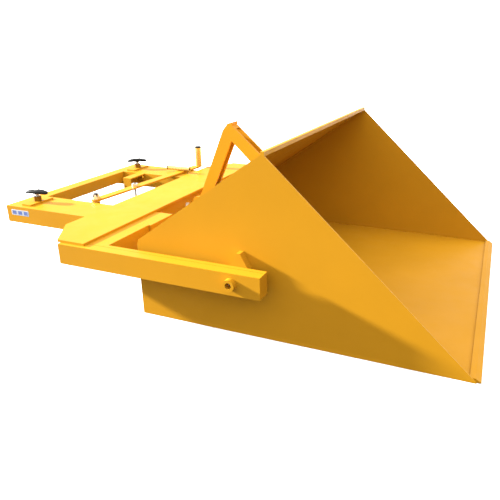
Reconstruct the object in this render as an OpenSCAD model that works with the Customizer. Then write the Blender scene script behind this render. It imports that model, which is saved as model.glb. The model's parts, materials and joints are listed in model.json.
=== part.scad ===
// Fork-mounted tipping bucket: a scoop pivoted between two arms of a fork-pocket frame,
// with a centre latch worked by a side lever and two fork clamps with bar knobs.
// +Z is up, -Y is the mouth of the bucket, +Y is where the forks enter. The origin is on
// the floor, under the middle of the whole attachment.

/* [Bucket] */
// Outside width over the side plates
body_w = 1200; // [900:10:1600]
// Height of the top lip above the floor
body_h = 595; // [450:5:800]
// Depth from the cutting edge to the rear wall
bucket_l = 1109; // [800:1:1400]
// Distance from the cutting edge back to the top lip
lip_back = 647; // [400:1:900]
// Height of the upright part of the rear wall
rear_wall_h = 268; // [150:1:400]
// Thickness of the bucket sheet
sheet_t = 6; // [4:1:10]

/* [Frame] */
// Overall length from the cutting edge to the rear of the fork pockets
total_l = 1880; // [1400:10:2600]
// Height of the deck and of the fork pocket tops
deck_z = 256; // [200:1:400]
// Thickness of the deck plate
deck_t = 9; // [6:1:16]
// Width of each arm's box section
arm_w = 54; // [40:1:90]
// Height of each arm's box section
arm_h = 72; // [50:1:120]
// Wall thickness of the arm and beam box sections
box_t = 5; // [3:0.5:8]
// Clear gap between a side plate and an arm
arm_gap = 28; // [15:1:60]

/* [Fork pockets] */
// Outside width of a fork pocket
pocket_w = 168; // [120:1:220]
// Outside height of a fork pocket
pocket_h = 68; // [50:1:100]
// Wall thickness of a fork pocket
pocket_t = 6; // [4:1:10]
// Distance from the middle of the frame to the middle of a pocket
pocket_x = 346; // [250:1:450]

/* [Pivot] */
// Height of the tipping axis
pivot_z = 213; // [150:1:300]
// Distance from the cutting edge back to the tipping axis
pivot_back = 723; // [500:1:900]
// Diameter of the pivot pins
pivot_pin_d = 20; // [16:1:40]

/* [Clamps] */
// Length over the two wings of a clamp knob
knob_d = 100; // [60:1:140]
// Angle of the near knob's wings in the stored pose
near_knob_turn = 100; // [0:1:179]
// Angle of the far knob's wings in the stored pose
far_knob_turn = 123; // [0:1:179]
// Diameter of a clamp screw
screw_d = 16; // [12:1:24]
// Clamp travel, from fully raised to fully down
clamp_travel = 12; // [5:1:20]

/* [Latch and lever] */
// Diameter of the latch bolt
latch_d = 22; // [16:1:26]
// Height of the latch bolt's axis
latch_z = 203; // [190:1:210]
// Distance from the middle of the frame to the lever pivot
lever_pivot_x = 240; // [180:1:300]
// Width of the lever bar
lever_w = 40; // [30:1:60]
// Thickness of the lever bar
lever_t = 8; // [6:1:12]

/* [Display] */
// Sub-part to draw

/* [Hidden] */
$fn = 48;

yellow = [0.97, 0.72, 0.16];
steel = [0.72, 0.72, 0.70];
black = [0.10, 0.10, 0.10];
dark_steel = [0.30, 0.30, 0.31];

half_w = body_w / 2;
front_y = -total_l / 2;
rear_y = total_l / 2;
wall_y = front_y + bucket_l;
lip_y = front_y + lip_back;
pivot_y = front_y + pivot_back;

// Cutting edge and lip sections
edge_d = 32;
edge_h = 12;
tip_y = front_y + 13;
lip_d = 12;
lip_h = 13;
back_slope = (body_h - rear_wall_h) / (wall_y - lip_y);

// Frame stations along the length, measured back from the rear wall
stop_y = wall_y + 87;
cross_y = stop_y + 9;
deck_front_y = cross_y + 70;
deck_rear_y = deck_front_y + 200;
deck_corner_y = deck_front_y + 111;
beam_y = deck_front_y + 10;
beam_d = 89;
arm_front_y = pivot_y - 95;
arm_rear_y = beam_y + beam_d;
rear_beam_d = 58;
rear_beam_h = 50;

arm_in_x = half_w + arm_gap;
arm_out_x = arm_in_x + arm_w;
box_top = deck_z - deck_t;
box_bottom = box_top - arm_h;
pocket_in_x = pocket_x - pocket_w / 2;
pocket_out_x = pocket_x + pocket_w / 2;
pocket_z = deck_z - pocket_h;
cross_in_x = pocket_in_x - 12;
seam_x = 18;

// Pivot
boss_d = 38;
pin_recess = 22;
boss_out = 18;
run_gap = 0.08;
lug_t = arm_gap - 1;

// Arch behind the bucket that carries the keeper
arch_w = 52;
arch_t = 10;
toe_r = 22;
toe_y = wall_y + 126;
toe_z = deck_z - 18;
toe_bottom = latch_z - 22;
arch_top_y = wall_y - 72;
arch_top_z = 583;

// Latch and lever
latch_rest_gap = 4;
guide_d = latch_d + 10;
keeper_gap = latch_d + 2;
keeper_t = 10;
bracket_y = 751;
bracket_l = 44;
bracket_x = 145;
latch_tail_y = 634;
rod_y = 616;
rod_d = 10;
lever_pivot_y = 637;
lever_z = deck_z + 2;
lever_top = lever_z + lever_t;
lever_end_x = 504;
plug_h = 6;
lever_turn = atan2(rod_y - lever_pivot_y, lever_pivot_x);
lever_bolt_d = 20;
post_h = 18;
post_d = 30;
grip_d = 34;
flat_grip_d = 22;
flat_grip_l = 125;
flat_grip_x = 352;
flat_grip_y = 537;
grip_h = 102;

// Clamps
clamp_y = rear_y - 88;
pad_h = 7;
pad_top = deck_z + pad_h;
nut_h = 19;
hub_z = pad_top + nut_h + clamp_travel + 1;
hub_h = 15;
wing_d = 28;
foot_top = deck_z - pocket_t - 1;
foot_h = 7;

module at_side(side) {
  if (side < 0) children();
  else mirror([1, 0, 0]) children();
}

// A profile drawn in Y (across) and Z (up), given thickness from x0 towards +X
module yz_plate(x0, t) {
  translate([x0, 0, 0]) rotate([90, 0, 90]) linear_extrude(t) children();
}

// A box section along X
module tube_x(x0, x1, y0, d, z0, h, t, closed_end = 0) {
  difference() {
    translate([x0, y0, z0]) cube([x1 - x0, d, h]);
    translate([x0 - 1, y0 + t, z0 + t]) cube([x1 - x0 + 1 + (closed_end > 0 ? -t : 1), d - 2 * t, h - 2 * t]);
  }
}

module hex_prism(flats, h) {
  cylinder(d = flats / cos(30), h = h, $fn = 6);
}

module side_outline() {
  polygon([
    [wall_y, 0], [wall_y, rear_wall_h - 11], [wall_y - 7, rear_wall_h + 7 * back_slope],
    [lip_y + lip_d, body_h - lip_d * back_slope], [lip_y + lip_d, body_h - lip_h],
    [lip_y, body_h - lip_h], [tip_y, 2], [tip_y, 0]]);
}

module side_plate() {
  color(yellow) yz_plate(-half_w, sheet_t) side_outline();
}
module side_plate_near() { at_side(-1) side_plate(); }
module side_plate_far() { at_side(1) side_plate(); }

module floor_plate() {
  color(yellow) translate([sheet_t - half_w, front_y + edge_d, 0])
    cube([body_w - 2 * sheet_t, bucket_l - edge_d - sheet_t, sheet_t]);
}

module rear_wall() {
  color(yellow) yz_plate(sheet_t - half_w, body_w - 2 * sheet_t)
    polygon([
      [wall_y - sheet_t, 0], [wall_y, 0], [wall_y, rear_wall_h],
      [wall_y - sheet_t, rear_wall_h - 2]]);
}

module back_plate() {
  color(yellow) yz_plate(sheet_t - half_w, body_w - 2 * sheet_t)
    polygon([
      [wall_y - sheet_t, rear_wall_h - 2], [wall_y, rear_wall_h],
      [lip_y + lip_d, body_h - lip_d * back_slope],
      [lip_y + lip_d, body_h - lip_d * back_slope - 7.2]]);
}

module lip_bar() {
  color(yellow) translate([-half_w, lip_y, body_h - lip_h]) cube([body_w, lip_d, lip_h]);
}

module cutting_edge() {
  color(yellow) yz_plate(sheet_t - half_w, body_w - 2 * sheet_t)
    polygon([
      [front_y + edge_d, 0], [front_y + edge_d, edge_h], [front_y + 16, edge_h],
      [front_y, 2], [front_y, 0]]);
}

// Pivot lug: a thick trapezoid block on the side plate
module pivot_lug() {
  color(yellow) difference() {
    yz_plate(-half_w - lug_t, lug_t)
      polygon([
        [pivot_y - 6, pivot_z + 76], [pivot_y + 6, pivot_z + 76], [pivot_y + 48, pivot_z],
        [pivot_y + 48, box_bottom], [pivot_y - 48, box_bottom], [pivot_y - 48, pivot_z]]);
    translate([-half_w - lug_t - 1, pivot_y, pivot_z]) rotate([0, 90, 0])
      cylinder(d = pivot_pin_d, h = lug_t + 2);
  }
}
module pivot_lug_near() { at_side(-1) pivot_lug(); }
module pivot_lug_far() { at_side(1) pivot_lug(); }

// The pin stops short of the boss's end, so the boss shows an open hole
module pivot_pin() {
  color(steel) translate([-arm_out_x - boss_out + pin_recess, pivot_y, pivot_z]) rotate([0, 90, 0])
    cylinder(d = pivot_pin_d, h = arm_w + lug_t + 1 + boss_out - pin_recess);
}
module pivot_pin_near() { at_side(-1) pivot_pin(); }
module pivot_pin_far() { at_side(1) pivot_pin(); }

module arch_outline() {
  toe_nose = [for (turn = [110:-11:0])
    [toe_y - toe_r + toe_r * cos(turn), toe_z + toe_r * sin(turn)]];
  difference() {
    polygon(concat([
      [wall_y, toe_bottom], [wall_y, rear_wall_h], [wall_y - 230, rear_wall_h + 230 * back_slope],
      [arch_top_y, arch_top_z - 14], [arch_top_y, arch_top_z], [arch_top_y + 19, arch_top_z - 6],
      [arch_top_y + 42, arch_top_z - 34], [wall_y + 90, toe_z + 22]],
      toe_nose,
      [[toe_y, toe_bottom + 12], [toe_y - 12, toe_bottom]]));
    polygon([
      [arch_top_y + 4, arch_top_z - 74], [wall_y - 160, rear_wall_h + 160 * back_slope + 42],
      [wall_y + 28, toe_z + 50]]);
  }
}

module arch_plate() {
  color(yellow) yz_plate(-arch_w / 2, arch_t) arch_outline();
}
module arch_plate_near() { at_side(-1) arch_plate(); }
module arch_plate_far() { at_side(1) arch_plate(); }

arch_in = arch_w - 2 * arch_t;

// Web that closes the back of the arch's rear leg, so that the leg is a channel open to the front
module arch_web() {
  color(yellow) yz_plate(-arch_in / 2, arch_in)
    polygon([
      [arch_top_y + 42, arch_top_z - 34], [wall_y + 90, toe_z + 22],
      [wall_y + 82, toe_z + 22], [arch_top_y + 34, arch_top_z - 34]]);
}

// Spacer that joins the two arch plates at the apex
module arch_spacer() {
  color(yellow) yz_plate(-arch_in / 2, arch_in)
    polygon([
      [arch_top_y, arch_top_z - 14], [arch_top_y, arch_top_z], [arch_top_y + 10, arch_top_z - 3],
      [arch_top_y + 1, arch_top_z - 28], [arch_top_y - 12, arch_top_z - 25]]);
}

// Two bars at the foot of the arch that the latch bolt slides between
module keeper_bars() {
  color(steel) for (side = [-1, 1])
    translate([-arch_in / 2, toe_y - 34, latch_z + side * (keeper_gap + keeper_t) / 2 - keeper_t / 2])
      cube([arch_in, 24, keeper_t]);
}

// Box-section arm, open inside, bored for the boss tube, with a seam groove along its top
module arm() {
  color(yellow) difference() {
    translate([-arm_out_x, arm_front_y + 6, box_bottom])
      cube([arm_w, arm_rear_y - arm_front_y - 12, arm_h]);
    translate([box_t - arm_out_x, arm_front_y, box_bottom + box_t])
      cube([arm_w - 2 * box_t, arm_rear_y - arm_front_y, arm_h - 2 * box_t]);
    translate([-arm_out_x - 1, pivot_y, pivot_z]) rotate([0, 90, 0]) cylinder(d = boss_d, h = arm_w + 2);
    translate([-arm_in_x - seam_x, arm_front_y, box_top - 1]) cube([1.6, arm_rear_y - arm_front_y, 2]);
  }
}
module arm_near() { at_side(-1) arm(); }
module arm_far() { at_side(1) arm(); }

module arm_caps() {
  color(yellow) for (y = [arm_front_y, arm_rear_y - 6])
    translate([-arm_out_x, y, box_bottom]) cube([arm_w, 6, arm_h]);
}
module arm_caps_near() { at_side(-1) arm_caps(); }
module arm_caps_far() { at_side(1) arm_caps(); }

module boss_tube() {
  color(yellow) translate([-arm_out_x - boss_out, pivot_y, pivot_z]) rotate([0, 90, 0])
    difference() {
      cylinder(d = boss_d, h = boss_out + arm_w);
      translate([0, 0, -1]) cylinder(d = pivot_pin_d + 2 * run_gap, h = boss_out + arm_w + 2);
    }
}
module boss_tube_near() { at_side(-1) boss_tube(); }
module boss_tube_far() { at_side(1) boss_tube(); }

module cross_tube() {
  color(yellow) tube_x(-arm_in_x, -cross_in_x, cross_y, deck_front_y - cross_y, box_bottom, arm_h,
    box_t, 1);
}
module cross_tube_near() { at_side(-1) cross_tube(); }
module cross_tube_far() { at_side(1) cross_tube(); }

module stop_strip() {
  color(yellow) translate([-cross_in_x - 148, stop_y, box_bottom + 12])
    cube([148, cross_y - stop_y, arm_h - 12]);
}
module stop_strip_near() { at_side(-1) stop_strip(); }
module stop_strip_far() { at_side(1) stop_strip(); }

module main_beam() {
  color(yellow) difference() {
    tube_x(-pocket_in_x, pocket_in_x, beam_y, beam_d, box_bottom, arm_h, box_t);
    translate([0, beam_y - 1, latch_z]) rotate([-90, 0, 0]) cylinder(d = guide_d, h = beam_d + 2);
  }
}

module side_beam() {
  color(yellow) tube_x(-arm_in_x, -pocket_out_x, deck_front_y, beam_d + 10, box_bottom, arm_h, box_t);
}
module side_beam_near() { at_side(-1) side_beam(); }
module side_beam_far() { at_side(1) side_beam(); }

module deck_plate() {
  edge_x = arm_out_x - 14;
  corner_x = edge_x - 138;
  color(yellow) translate([0, 0, box_top]) linear_extrude(deck_t)
    polygon([
      [-edge_x, deck_front_y], [edge_x, deck_front_y], [edge_x, deck_corner_y],
      [corner_x, deck_rear_y], [-corner_x, deck_rear_y], [-edge_x, deck_corner_y]]);
}

// Fork pocket: a flat box section. Its top wall is cut away where the deck lies over it,
// and its top is bored for the clamp screw.
module fork_pocket() {
  color(yellow) difference() {
    translate([-pocket_out_x, deck_front_y, pocket_z]) cube([pocket_w, rear_y - deck_front_y, pocket_h]);
    translate([pocket_t - pocket_out_x, deck_front_y - 1, pocket_z + pocket_t])
      cube([pocket_w - 2 * pocket_t, rear_y - deck_front_y + 2, pocket_h - 2 * pocket_t]);
    translate([-pocket_out_x - 1, deck_front_y - 1, box_top])
      cube([pocket_w + 2, deck_rear_y - deck_front_y + 1, deck_t + 1]);
    translate([-pocket_x, clamp_y, deck_z - pocket_t - 1]) cylinder(d = screw_d + 2, h = pocket_t + 2);
  }
}
module fork_pocket_near() { at_side(-1) fork_pocket(); }

// The far pocket also has a round hole in its inner wall, inside the bracket
module fork_pocket_far() {
  color(yellow) difference() {
    at_side(1) fork_pocket();
    translate([pocket_in_x - 1, bracket_y + 14, deck_z - 18]) rotate([0, 90, 0])
      cylinder(d = 14, h = pocket_t + 2);
  }
}

module rear_beam() {
  color(yellow) tube_x(-pocket_in_x, pocket_in_x, rear_y - rear_beam_d, rear_beam_d,
    deck_z - rear_beam_h, rear_beam_h, box_t);
}

// Bracket on the far pocket's inner wall, open at its front and underneath
module side_bracket() {
  bracket_t = 6;
  bracket_h = 59;
  color(yellow) difference() {
    translate([bracket_x, bracket_y, deck_z - bracket_h])
      cube([pocket_in_x - bracket_x, bracket_l, bracket_h]);
    translate([bracket_x + bracket_t, bracket_y - 1, deck_z - bracket_h - 1])
      cube([pocket_in_x - bracket_x, bracket_l - bracket_t + 1, bracket_h - bracket_t + 1]);
  }
}

// Round post on the near pocket's inner wall that carries the lever pivot
module lever_post() {
  color(yellow) difference() {
    union() {
      translate([-lever_pivot_x, lever_pivot_y, deck_z - post_h]) cylinder(d = post_d, h = post_h);
      translate([-pocket_in_x, lever_pivot_y - 9, deck_z - post_h])
        cube([pocket_in_x - lever_pivot_x, 18, post_h]);
    }
    translate([-lever_pivot_x, lever_pivot_y, deck_z - post_h - 1])
      cylinder(d = lever_bolt_d, h = post_h + 2);
  }
}

// Tube through the main beam that guides the latch bolt
module latch_guide() {
  color(steel) translate([0, beam_y - 5, latch_z]) rotate([-90, 0, 0]) difference() {
    cylinder(d = guide_d, h = beam_d + 10);
    translate([0, 0, -1]) cylinder(d = latch_d + 2 * run_gap, h = beam_d + 12);
  }
}

module clamp_pads() {
  color(yellow) for (side = [-1, 1]) translate([side * pocket_x, clamp_y, deck_z]) difference() {
    translate([-63, -22, 0]) cube([126, 44, pad_h]);
    translate([0, 0, -1]) cylinder(d = screw_d + 2, h = pad_h + 2);
  }
}

module clamp_nuts() {
  color(yellow) for (side = [-1, 1]) translate([side * pocket_x, clamp_y, pad_top]) difference() {
    hex_prism(28, nut_h);
    translate([0, 0, -1]) cylinder(d = screw_d + 2 * run_gap, h = nut_h + 2);
  }
}

// Pressure foot under the clamp screw. It has a blind socket for the screw's spigot.
module clamp_foot() {
  color(steel) translate([-pocket_x, clamp_y, foot_top - foot_h]) difference() {
    cylinder(d = 36, h = foot_h);
    translate([0, 0, 3]) cylinder(d = 10 + 2 * run_gap, h = foot_h);
  }
}
module clamp_foot_near() { at_side(-1) clamp_foot(); }
module clamp_foot_far() { at_side(1) clamp_foot(); }

module clamp_screw() {
  screw_top = hub_z + hub_h + 2;
  color(steel) translate([-pocket_x, clamp_y, 0]) {
    translate([0, 0, foot_top + 0.3]) cylinder(d = screw_d, h = screw_top - foot_top - 0.3);
    translate([0, 0, foot_top - foot_h + 3.3]) cylinder(d = 10, h = foot_h - 2.5);
  }
}
module clamp_screw_near() { at_side(-1) clamp_screw(); }
module clamp_screw_far() { at_side(1) clamp_screw(); }

// Outline of a bar knob seen from above: a round middle and two round-ended wings
module knob_outline() {
  circle(d = 40);
  square([knob_d - wing_d, wing_d], center = true);
  for (side = [-1, 1]) translate([side * (knob_d - wing_d) / 2, 0]) circle(d = wing_d);
}

// Bar knob: a crowned cap with drooping ends, cut to the outline, on a short hub
module clamp_knob(side, turn) {
  knob_r = knob_d / 2;
  color(black) translate([side * pocket_x, clamp_y, hub_z]) rotate(turn) intersection() {
    rotate_extrude($fn = 72) polygon([
      [screw_d / 2, 0], [16, 0], [18, 5], [knob_r - 10, 3], [knob_r, -3], [knob_r, 3], [knob_r - 7, 9],
      [18, 14], [14, hub_h], [screw_d / 2, hub_h]]);
    translate([0, 0, -4]) linear_extrude(hub_h + 5) knob_outline();
  }
}
module clamp_knob_near() { clamp_knob(-1, near_knob_turn); }
module clamp_knob_far() { clamp_knob(1, far_knob_turn); }

module lever_bolt() {
  color(dark_steel) translate([-lever_pivot_x, lever_pivot_y, deck_z - post_h]) {
    translate([0, 0, -12]) hex_prism(30, 12);
    cylinder(d = lever_bolt_d, h = post_h + 2 + lever_t + 24);
  }
}

// Castle nut: hexagon with a round crown cut by three slots
module castle_nut() {
  color(steel) translate([-lever_pivot_x, lever_pivot_y, lever_top + 0.3]) difference() {
    union() {
      hex_prism(30, 14);
      translate([0, 0, 14]) cylinder(d = 28, h = 6);
    }
    translate([0, 0, -1]) cylinder(d = lever_bolt_d, h = 23);
    for (turn = [0, 60, 120]) rotate(turn) translate([-20, -3, 11]) cube([40, 6, 10]);
  }
}

module lever_washer() {
  color(steel) translate([-lever_pivot_x, lever_pivot_y, deck_z]) difference() {
    cylinder(d = 36, h = 1.7);
    translate([0, 0, -1]) cylinder(d = lever_bolt_d, h = 4);
  }
}

// Moves its children into the lever's own frame: X runs along the bar from its pivot
module on_lever() {
  translate([-lever_pivot_x, lever_pivot_y, lever_z]) rotate(lever_turn) children();
}

lever_l = (lever_end_x + lever_pivot_x) / cos(lever_turn);
rod_on_lever = lever_pivot_x / cos(lever_turn);

module lever_bar() {
  color(yellow) on_lever() difference() {
    union() {
      cylinder(d = lever_w, h = lever_t);
      translate([0, -lever_w / 2, 0]) cube([lever_l - grip_d / 2, lever_w, lever_t]);
    }
    translate([0, 0, -1]) cylinder(d = lever_bolt_d + 2 * run_gap, h = lever_t + 2);
    translate([rod_on_lever - 14, -rod_d / 2 - 1.5, -1]) cube([28, rod_d + 3, lever_t + 2]);
  }
}

module open_tube(d, wall, h) {
  difference() {
    cylinder(d = d, h = h);
    translate([0, 0, -1]) cylinder(d = d - 2 * wall, h = h + 2);
  }
}

// Plug for a tube's end: a head as wide as the tube and a stem inside it
module end_plug(d, wall) {
  cylinder(d = d, h = plug_h);
  translate([0, 0, -12]) cylinder(d = d - 2 * wall, h = 12.5);
}

module at_flat_grip() {
  translate([flat_grip_x, flat_grip_y, lever_top + flat_grip_d / 2]) rotate([-90, 0, 0]) children();
}

module lever_grip_flat() {
  color(yellow) at_flat_grip() open_tube(flat_grip_d, 3, flat_grip_l);
}

module grip_plug_flat() {
  color(black) at_flat_grip() translate([0, 0, flat_grip_l]) end_plug(flat_grip_d, 3);
}

module lever_grip_upright() {
  color(yellow) on_lever() translate([lever_l, 0, 0]) open_tube(grip_d, 3, grip_h);
}

module grip_plug_upright() {
  color(black) on_lever() translate([lever_l, 0, grip_h]) end_plug(grip_d, 3);
}

latch_tip_y = toe_y + latch_rest_gap;

module latch_bolt() {
  color(steel) difference() {
    translate([0, latch_tip_y, latch_z]) rotate([-90, 0, 0]) {
      cylinder(d1 = latch_d - 8, d2 = latch_d, h = 6);
      translate([0, 0, 6]) cylinder(d = latch_d, h = latch_tail_y - latch_tip_y - 6);
    }
    translate([0, rod_y, latch_z - latch_d]) cylinder(d = rod_d, h = 2 * latch_d);
  }
}

module draw_rod() {
  color(steel) translate([0, rod_y, latch_z - 16]) cylinder(d = rod_d, h = lever_top + 15 - latch_z + 16);
}

module draw_rod_nut() {
  color(steel) translate([0, rod_y, lever_top + 0.3]) difference() {
    hex_prism(26, 12);
    translate([0, 0, -1]) cylinder(d = rod_d, h = 14);
  }
}

side_plate_near();
side_plate_far();
floor_plate();
rear_wall();
back_plate();
lip_bar();
cutting_edge();
pivot_lug_near();
pivot_lug_far();
pivot_pin_near();
pivot_pin_far();
arch_plate_near();
arch_plate_far();
arch_web();
arch_spacer();
keeper_bars();
arm_near();
arm_far();
arm_caps_near();
arm_caps_far();
boss_tube_near();
boss_tube_far();
cross_tube_near();
cross_tube_far();
stop_strip_near();
stop_strip_far();
main_beam();
side_beam_near();
side_beam_far();
deck_plate();
fork_pocket_near();
fork_pocket_far();
rear_beam();
side_bracket();
lever_post();
latch_guide();
clamp_pads();
clamp_nuts();
clamp_foot_near();
clamp_foot_far();
clamp_screw_near();
clamp_screw_far();
clamp_knob_near();
clamp_knob_far();
lever_bolt();
castle_nut();
lever_washer();
lever_bar();
lever_grip_flat();
grip_plug_flat();
lever_grip_upright();
grip_plug_upright();
latch_bolt();
draw_rod();
draw_rod_nut();
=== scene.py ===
"""Looks for a fork-mounted tipping bucket: orange-yellow paint, bright steel hardware, black knobs."""
import json
import math

import bpy
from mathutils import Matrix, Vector


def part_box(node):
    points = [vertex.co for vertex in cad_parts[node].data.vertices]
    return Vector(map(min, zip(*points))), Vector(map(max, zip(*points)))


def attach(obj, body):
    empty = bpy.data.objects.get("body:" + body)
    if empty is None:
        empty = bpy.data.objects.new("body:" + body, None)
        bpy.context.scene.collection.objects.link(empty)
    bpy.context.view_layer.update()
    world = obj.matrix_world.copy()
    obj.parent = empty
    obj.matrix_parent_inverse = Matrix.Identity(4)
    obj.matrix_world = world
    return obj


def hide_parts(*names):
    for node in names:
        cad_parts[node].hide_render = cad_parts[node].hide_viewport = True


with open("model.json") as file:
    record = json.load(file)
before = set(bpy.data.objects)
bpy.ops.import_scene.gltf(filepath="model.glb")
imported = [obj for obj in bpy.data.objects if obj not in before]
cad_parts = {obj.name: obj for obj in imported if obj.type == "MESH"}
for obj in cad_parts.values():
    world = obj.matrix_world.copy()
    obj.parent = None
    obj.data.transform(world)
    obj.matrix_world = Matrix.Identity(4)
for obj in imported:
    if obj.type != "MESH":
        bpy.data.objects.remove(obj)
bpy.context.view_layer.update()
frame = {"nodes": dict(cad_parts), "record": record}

nodes = frame["nodes"]
slot_of = {part["node"]: part["material_slot"] for part in frame["record"]["subparts"]}


# Materials

PATTERN_LOW = 0.3
PATTERN_HIGH = 0.7


def new_material(name):
    """An empty node material and its shader."""
    material = bpy.data.materials.new(name)
    material.use_nodes = True
    return material, material.node_tree, material.node_tree.nodes["Principled BSDF"]


def object_coords(tree):
    """Object coordinates, which stay on the piece as it moves."""
    return tree.nodes.new("ShaderNodeTexCoord").outputs["Object"]


def noise(tree, coords, scale, detail=3.0):
    """A noise texture's value."""
    texture = tree.nodes.new("ShaderNodeTexNoise")
    texture.inputs["Scale"].default_value = scale
    texture.inputs["Detail"].default_value = detail
    tree.links.new(coords, texture.inputs["Vector"])
    return texture.outputs["Fac"]


def ramp(tree, value, stops):
    """A colour ramp over a value. Each stop is a place and a colour."""
    node = tree.nodes.new("ShaderNodeValToRGB")
    elements = node.color_ramp.elements
    while len(elements) < len(stops):
        elements.new(0.5)
    for element, (place, colour) in zip(elements, stops):
        element.position = place
        element.color = (*colour, 1.0)
    tree.links.new(value, node.inputs["Fac"])
    return node.outputs["Color"]


def vary_colour(tree, shader, pattern, first, second, high=PATTERN_HIGH):
    """Lets the colour pass from the first to the second as the pattern rises from low to high."""
    colour = ramp(tree, pattern, [(PATTERN_LOW, first), (high, second)])
    tree.links.new(colour, shader.inputs["Base Color"])


def vary_roughness(tree, shader, pattern, first, second, high=PATTERN_HIGH):
    """Lets the roughness pass from the first to the second as the pattern rises from low to high."""
    stops = [(PATTERN_LOW, (first, first, first)), (high, (second, second, second))]
    tree.links.new(ramp(tree, pattern, stops), shader.inputs["Roughness"])


def add_relief(tree, shader, height, strength, distance):
    """Lets a height bump the surface."""
    node = tree.nodes.new("ShaderNodeBump")
    node.inputs["Strength"].default_value = strength
    node.inputs["Distance"].default_value = distance
    tree.links.new(height, node.inputs["Height"])
    tree.links.new(node.outputs["Normal"], shader.inputs["Normal"])


def paint(name, shade_factor=1.0):
    """Sprayed satin paint: a faint change of tone over the sheet, and orange peel in the lacquer.

    Its last argument, under 1, darkens it all: painted shade, used for the clamp nuts that sit in the
    knobs' shade.
    """
    material, tree, shader = new_material(name)
    coords = object_coords(tree)
    base = Vector((0.46, 0.210, 0.0086)) * shade_factor
    vary_colour(tree, shader, noise(tree, coords, 3.0, 4.0), base * 0.95, base * 1.05)
    vary_roughness(tree, shader, noise(tree, coords, 14.0, 3.0), 0.40, 0.52, high=0.75)
    orange_peel = noise(tree, coords, 420.0, 2.0)
    add_relief(tree, shader, orange_peel, strength=0.02, distance=0.0006)
    shader.inputs["Specular IOR Level"].default_value = 0.08
    return material


def pale_lacquer(name):
    """Thin glossy yellow lacquer that lets the plated tube under it show through."""
    material, tree, shader = new_material(name)
    coords = object_coords(tree)
    vary_colour(tree, shader, noise(tree, coords, 30.0, 3.0), (0.50, 0.36, 0.10), (0.62, 0.46, 0.15))
    vary_roughness(tree, shader, noise(tree, coords, 120.0, 2.0), 0.22, 0.34)
    shader.inputs["Metallic"].default_value = 0.5
    return material


def steel(name, thread_pitch=None, shade_factor=1.0):
    """Bright zinc-plated steel with a faint warm stain and fine turning marks, or a thread along Z.

    Its last argument, under 1, darkens it all: painted shade, used for the draw rod that sits in the
    lever bar's shade.
    """
    material, tree, shader = new_material(name)
    coords = object_coords(tree)
    dull = Vector((0.62, 0.60, 0.55)) * shade_factor
    bright = Vector((0.82, 0.80, 0.75)) * shade_factor
    vary_colour(tree, shader, noise(tree, coords, 30.0, 4.0), dull, bright)
    vary_roughness(tree, shader, noise(tree, coords, 160.0, 2.0), 0.26, 0.42)
    if thread_pitch:
        band_at_scale_one = 2.0 * math.pi / 20.0
        thread = tree.nodes.new("ShaderNodeTexWave")
        thread.bands_direction = "Z"
        thread.inputs["Scale"].default_value = band_at_scale_one / thread_pitch
        tree.links.new(coords, thread.inputs["Vector"])
        add_relief(tree, shader, thread.outputs["Fac"], strength=0.8, distance=0.001)
    else:
        turning_marks = noise(tree, coords, 700.0, 2.0)
        add_relief(tree, shader, turning_marks, strength=0.08, distance=0.0004)
    shader.inputs["Metallic"].default_value = 0.9
    return material


def black_plastic(name):
    """Smooth black moulding, with a faint grain and slightly greyed patches."""
    material, tree, shader = new_material(name)
    coords = object_coords(tree)
    patches = noise(tree, coords, 25.0, 3.0)
    vary_colour(tree, shader, patches, (0.003, 0.003, 0.003), (0.008, 0.008, 0.007), high=0.75)
    vary_roughness(tree, shader, noise(tree, coords, 60.0, 2.0), 0.45, 0.6)
    grain = noise(tree, coords, 900.0, 2.0)
    add_relief(tree, shader, grain, strength=0.1, distance=0.0003)
    shader.inputs["Specular IOR Level"].default_value = 0.12
    return material


def dark_steel(name):
    """Dark oiled steel, slightly browned in patches."""
    material, tree, shader = new_material(name)
    coords = object_coords(tree)
    patches = noise(tree, coords, 60.0, 3.0)
    vary_colour(tree, shader, patches, (0.030, 0.030, 0.034), (0.060, 0.055, 0.050))
    vary_roughness(tree, shader, noise(tree, coords, 160.0, 2.0), 0.34, 0.5)
    turning_marks = noise(tree, coords, 700.0, 2.0)
    add_relief(tree, shader, turning_marks, strength=0.08, distance=0.0004)
    shader.inputs["Metallic"].default_value = 0.6
    return material


finishes = {
    "yellow_paint": paint("yellow_paint"),
    "steel": steel("bright_steel"),
    "dark_steel": dark_steel("dark_steel"),
    "black_plastic": black_plastic("black_moulding"),
}


def dress(node, material):
    """Puts one material on a CAD node."""
    mesh = nodes[node].data
    mesh.materials.clear()
    mesh.materials.append(material)


for node_name in nodes:
    dress(node_name, finishes[slot_of[node_name]])
grip_finish = pale_lacquer("grip_lacquer")
for node_name in ("lever_grip_flat", "lever_grip_upright"):
    dress(node_name, grip_finish)
# Painted shade: the clamp nuts are darkened because they sit in the knobs' shade.
dress("clamp_nuts", paint("shaded_paint", shade_factor=0.4))
# Painted shade: the draw rod is darkened because it sits in the lever bar's shade.
dress("draw_rod", steel("shaded_steel", shade_factor=0.25))
screw_pitch = 0.003
screw_finish = steel("threaded_steel", thread_pitch=screw_pitch)
for node_name in ("clamp_screw_near", "clamp_screw_far"):
    dress(node_name, screw_finish)


# The label on the near pocket's outer face

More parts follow.
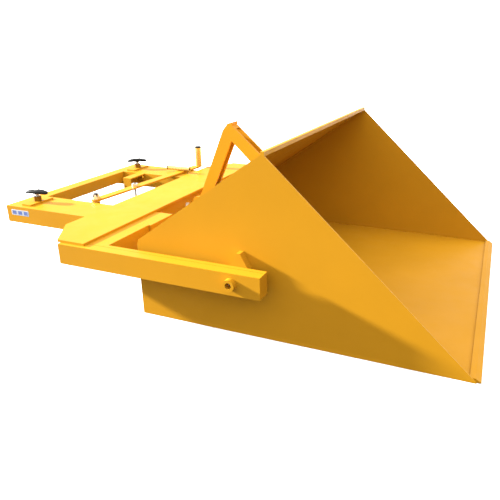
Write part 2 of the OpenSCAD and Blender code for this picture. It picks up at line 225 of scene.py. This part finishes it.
def block_label(name):
    """Pale film printed with plain blue blocks."""
    material, tree, shader = new_material(name)
    coords = object_coords(tree)
    split = tree.nodes.new("ShaderNodeSeparateXYZ")
    tree.links.new(coords, split.inputs["Vector"])
    flat = tree.nodes.new("ShaderNodeCombineXYZ")
    tree.links.new(split.outputs["Y"], flat.inputs["X"])
    tree.links.new(split.outputs["Z"], flat.inputs["Y"])
    block_pitch = 0.030
    row_height = 0.024
    block_gap = 0.0048
    centred = tree.nodes.new("ShaderNodeMapping")
    centred.inputs["Location"].default_value = (block_pitch / 2, row_height / 2, 0.0)
    tree.links.new(flat.outputs["Vector"], centred.inputs["Vector"])
    blocks = tree.nodes.new("ShaderNodeTexBrick")
    blocks.offset = 0.0
    blocks.inputs["Color1"].default_value = (0.015, 0.045, 0.20, 1.0)
    blocks.inputs["Color2"].default_value = (0.030, 0.080, 0.28, 1.0)
    blocks.inputs["Mortar"].default_value = (0.30, 0.32, 0.36, 1.0)
    blocks.inputs["Scale"].default_value = 1.0
    blocks.inputs["Mortar Size"].default_value = block_gap
    blocks.inputs["Mortar Smooth"].default_value = 0.1
    blocks.inputs["Brick Width"].default_value = block_pitch
    blocks.inputs["Row Height"].default_value = row_height
    tree.links.new(centred.outputs["Vector"], blocks.inputs["Vector"])
    tree.links.new(blocks.outputs["Color"], shader.inputs["Base Color"])
    vary_roughness(tree, shader, noise(tree, coords, 40.0, 2.0), 0.30, 0.42)
    return material


def rounded_sheet(name, centre, length, height, corner, thick):
    """A thin sheet facing -X, with round corners and a bevelled edge. Its hidden back is left open."""
    steps = 6
    outline = []
    for turn, (side_y, side_z) in enumerate([(1, 1), (-1, 1), (-1, -1), (1, -1)]):
        for step in range(steps + 1):
            angle = math.pi / 2 * (turn + step / steps)
            across = side_y * (length / 2 - corner) + corner * math.cos(angle)
            up = side_z * (height / 2 - corner) + corner * math.sin(angle)
            outline.append((across, up))
    count = len(outline)
    bevel_scale = 1.0 - 2.0 * thick / height
    verts = [(0.0, across, up) for across, up in outline]
    verts += [(-thick, across * bevel_scale, up * bevel_scale) for across, up in outline]
    faces = [(i, count + i, count + (i + 1) % count, (i + 1) % count) for i in range(count)]
    faces.append(tuple(range(count, 2 * count))[::-1])
    mesh = bpy.data.meshes.new(name)
    mesh.from_pydata(verts, [], faces)
    mesh.update()
    sheet = bpy.data.objects.new(name, mesh)
    sheet.location = centre
    bpy.context.scene.collection.objects.link(sheet)
    return sheet


pocket_outer_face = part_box("fork_pocket_near")[0][0]
film_gap = 0.0001
label_place = (pocket_outer_face - film_gap, 0.869, 0.231)
label = rounded_sheet("label_near", label_place, length=0.092, height=0.023, corner=0.003, thick=0.0004)
label.data.materials.append(block_label("label_film"))
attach(label, "frame")


# Clamp knobs: smooth mouldings in place of the plain CAD solids

def oval(half_length, half_width, bluntness, steps):
    """Points of an oval, long along X. Bluntness 2 is a true ellipse, and more squares its ends."""
    points = []
    for step in range(steps):
        angle = 2.0 * math.pi * step / steps
        along = math.cos(angle)
        across = math.sin(angle)
        reach = (abs(along) ** bluntness + abs(across) ** bluntness) ** (-1.0 / bluntness)
        points.append((half_length * reach * along, half_width * reach * across))
    return points


def bar_knob(name, node, screw, turn_deg):
    """A crowned two-wing knob on a round hub, with drooping ends and a bore for its screw."""
    low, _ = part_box(node)
    screw_low, screw_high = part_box(screw)
    bore_clearance = 0.0002
    bore = (screw_high[0] - screw_low[0]) / 2 + bore_clearance
    base_lift = 0.003
    base = low[2] + base_lift
    half_length = 0.050
    half_width = 0.0195
    end_droop = 0.0048
    steps = 72
    round_ring = 2.0
    wing_ring = 2.6
    # Each ring is its half length, half width, bluntness and height, from the bottom round to the bore.
    rings = [
        (0.016, 0.016, round_ring, 0.0), (0.018, 0.0175, round_ring, 0.0015),
        (0.042, 0.0165, wing_ring, 0.0020), (0.0475, 0.0183, wing_ring, 0.0022),
        (half_length, half_width, wing_ring, 0.0050), (half_length, half_width, wing_ring, 0.0088),
        (0.0475, 0.0183, wing_ring, 0.0114), (0.041, 0.0165, wing_ring, 0.0128),
        (0.022, 0.0145, wing_ring, 0.0142), (0.0135, 0.0130, round_ring, 0.0149),
        (bore, bore, round_ring, 0.0149), (bore, bore, round_ring, 0.0),
    ]
    verts = []
    for ring_length, ring_width, bluntness, height in rings:
        for along, across in oval(ring_length, ring_width, bluntness, steps):
            droop = end_droop * (along / half_length) ** 2
            verts.append((along, across, height - droop))
    faces = []
    for ring in range(len(rings)):
        after = (ring + 1) % len(rings)
        for step in range(steps):
            beside = (step + 1) % steps
            faces.append((
                ring * steps + step,
                ring * steps + beside,
                after * steps + beside,
                after * steps + step,
            ))
    mesh = bpy.data.meshes.new(name)
    mesh.from_pydata(verts, [], faces)
    for polygon in mesh.polygons:
        polygon.use_smooth = True
    mesh.update()
    knob = bpy.data.objects.new(name, mesh)
    knob.location = ((screw_low[0] + screw_high[0]) / 2, (screw_low[1] + screw_high[1]) / 2, base)
    knob.rotation_euler.z = math.radians(turn_deg)
    bpy.context.scene.collection.objects.link(knob)
    mesh.materials.append(finishes["black_plastic"])
    return knob


knob_turn_deg = {"near": 100.0, "far": 123.0}
for side, turn in knob_turn_deg.items():
    knob = bar_knob("knob_moulding_" + side, "clamp_knob_" + side, "clamp_screw_" + side, turn)
    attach(knob, "knob_" + side)
    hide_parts("clamp_knob_" + side)


# Floor, light and camera

def sunlight(name, travel, strength, spread_deg):
    """Soft-edged light from far away, given by the direction that it travels in."""
    data = bpy.data.lights.new(name, "SUN")
    data.energy = strength
    data.angle = math.radians(spread_deg)
    light = bpy.data.objects.new(name, data)
    light.rotation_euler = Vector(travel).to_track_quat("-Z", "Y").to_euler()
    bpy.context.scene.collection.objects.link(light)


def plain_floor():
    """A pale floor far wider than the view, just under the piece. No diffuse light bounces off it."""
    half = 80.0
    mesh = bpy.data.meshes.new("floor")
    corners = [(-half, -half, 0), (half, -half, 0), (half, half, 0), (-half, half, 0)]
    mesh.from_pydata(corners, [], [(0, 1, 2, 3)])
    floor = bpy.data.objects.new("floor", mesh)
    gap_below_piece = 0.001
    floor.location.z = -gap_below_piece
    bpy.context.scene.collection.objects.link(floor)
    material, tree, shader = new_material("floor_white")
    tone = noise(tree, object_coords(tree), 2.0)
    vary_colour(tree, shader, tone, (0.90, 0.90, 0.90), (0.93, 0.93, 0.93))
    shader.inputs["Roughness"].default_value = 0.9
    shader.inputs["Specular IOR Level"].default_value = 0.0
    mesh.materials.append(material)
    floor.visible_diffuse = False


def pale_world(strength):
    """A white surround: brightest overhead, dimmer towards the horizon and dark below it."""
    world = bpy.data.worlds.new("surround")
    world.use_nodes = True
    tree = world.node_tree
    coords = tree.nodes.new("ShaderNodeTexCoord")
    split = tree.nodes.new("ShaderNodeSeparateXYZ")
    tree.links.new(coords.outputs["Generated"], split.inputs["Vector"])
    height = tree.nodes.new("ShaderNodeMapRange")
    height.inputs["From Min"].default_value = -1.0
    tree.links.new(split.outputs["Z"], height.inputs["Value"])
    # Each level is a height and a brightness. Height 0 is straight down, 0.5 the horizon, 1 overhead.
    levels = [(0.47, 0.02), (0.488, 0.42), (0.62, 0.50), (0.80, 0.80), (1.0, 1.0)]
    level = ramp(tree, height.outputs["Result"], [(place, (grey, grey, grey)) for place, grey in levels])
    background = tree.nodes["Background"]
    tree.links.new(level, background.inputs["Color"])
    background.inputs["Strength"].default_value = strength
    bpy.context.scene.world = world


def photo_camera():
    """The camera that the picture was taken from."""
    data = bpy.data.cameras.new("camera")
    data.sensor_width = 36.0
    data.lens = 37.95
    data.shift_x = -0.050
    data.shift_y = 0.003
    data.clip_end = 200.0
    camera = bpy.data.objects.new("camera", data)
    place = Vector((-1.9397, -0.8771, 0.8740))
    forward = Vector((0.8604, 0.3540, -0.3667))
    camera.location = place
    camera.rotation_euler = forward.to_track_quat("-Z", "Y").to_euler()
    bpy.context.scene.collection.objects.link(camera)
    bpy.context.scene.camera = camera


plain_floor()
pale_world(strength=2.75)
sunlight("key", travel=(0.145, -0.925, -0.355), strength=17.5, spread_deg=4.0)
photo_camera()
bpy.context.scene.view_settings.view_transform = "Standard"
